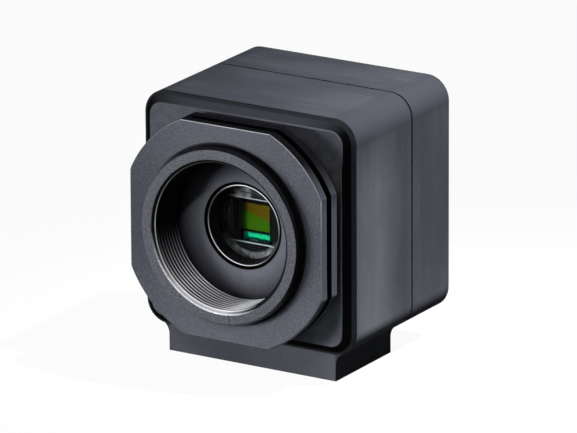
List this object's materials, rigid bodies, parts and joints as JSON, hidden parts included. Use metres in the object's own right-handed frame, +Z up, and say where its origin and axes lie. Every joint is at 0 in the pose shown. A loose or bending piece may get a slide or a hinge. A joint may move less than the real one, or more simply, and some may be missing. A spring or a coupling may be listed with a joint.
{
  "type": "machine vision camera",
  "caption": "Square black industrial camera on a mounting foot, with a milled lens mount flange, an adjustable threaded lens ring and rear sockets.",
  "frame": {"origin": "centre of the foot's underside, at the mouth of the tripod thread", "axes": "+Z up, the lens looks towards -Y, +X to the right seen from the front"},
  "size_m": [0.0398, 0.0408, 0.0445],
  "materials": {
    "anodised_black": "satin black anodised",
    "ring_black": "turned, satin black anodised",
    "steel_dark": "blackened",
    "steel_plain": "plain",
    "clear_glass": "polished",
    "mask_grey": "matt black",
    "gasket_black": "matt",
    "silicon": "polished",
    "ceramic_dark": "matt",
    "circuit_board": "solder resist",
    "brass_plain": "plain",
    "moulded_black": "moulded",
    "gold_contact": "gold plated",
    "lamp_white": "moulded",
    "clear_plastic": "clear moulded"
  },
  "bodies": {
    "camera": {"front_cover": "anodised_black", "ring_lock_screws": "steel_dark", "filter_retainer": "ring_black", "filter_glass": "clear_glass", "aperture_mask": "mask_grey", "front_seal": "gasket_black", "front_housing": "anodised_black", "rear_seal": "gasket_black", "rear_housing": "anodised_black", "tie_screws": "steel_dark", "sensor_glass": "clear_glass", "sensor_die": "silicon", "sensor_package": "ceramic_dark", "dust_gasket": "gasket_black", "sensor_board": "circuit_board", "main_board": "circuit_board", "interface_board": "circuit_board", "front_spacers": "brass_plain", "rear_spacers": "brass_plain", "front_board_connector": "moulded_black", "rear_board_connector": "moulded_black", "board_screws": "steel_plain", "processor": "moulded_black", "memory_chips": "moulded_black", "network_controller": "moulded_black", "network_magnetics": "moulded_black", "power_inductor": "moulded_black", "network_jack": "moulded_black", "network_jack_shield": "steel_plain", "network_jack_contacts": "gold_contact", "io_connector_shell": "steel_dark", "io_connector_insert": "moulded_black", "io_connector_pins": "gold_contact", "io_connector_nut": "steel_plain", "status_lamps": "lamp_white", "light_pipes": "clear_plastic"},
    "mount_ring": {"mount_ring": "ring_black"}
  },
  "joints": [
    {"name": "back_focus_turn", "type": "hinge", "parent": "camera", "child": "mount_ring", "pos_m": [0, -0.01507, 0.0246], "axis": [0, -1, 0], "range_deg": [-180, 180]}
  ]
}
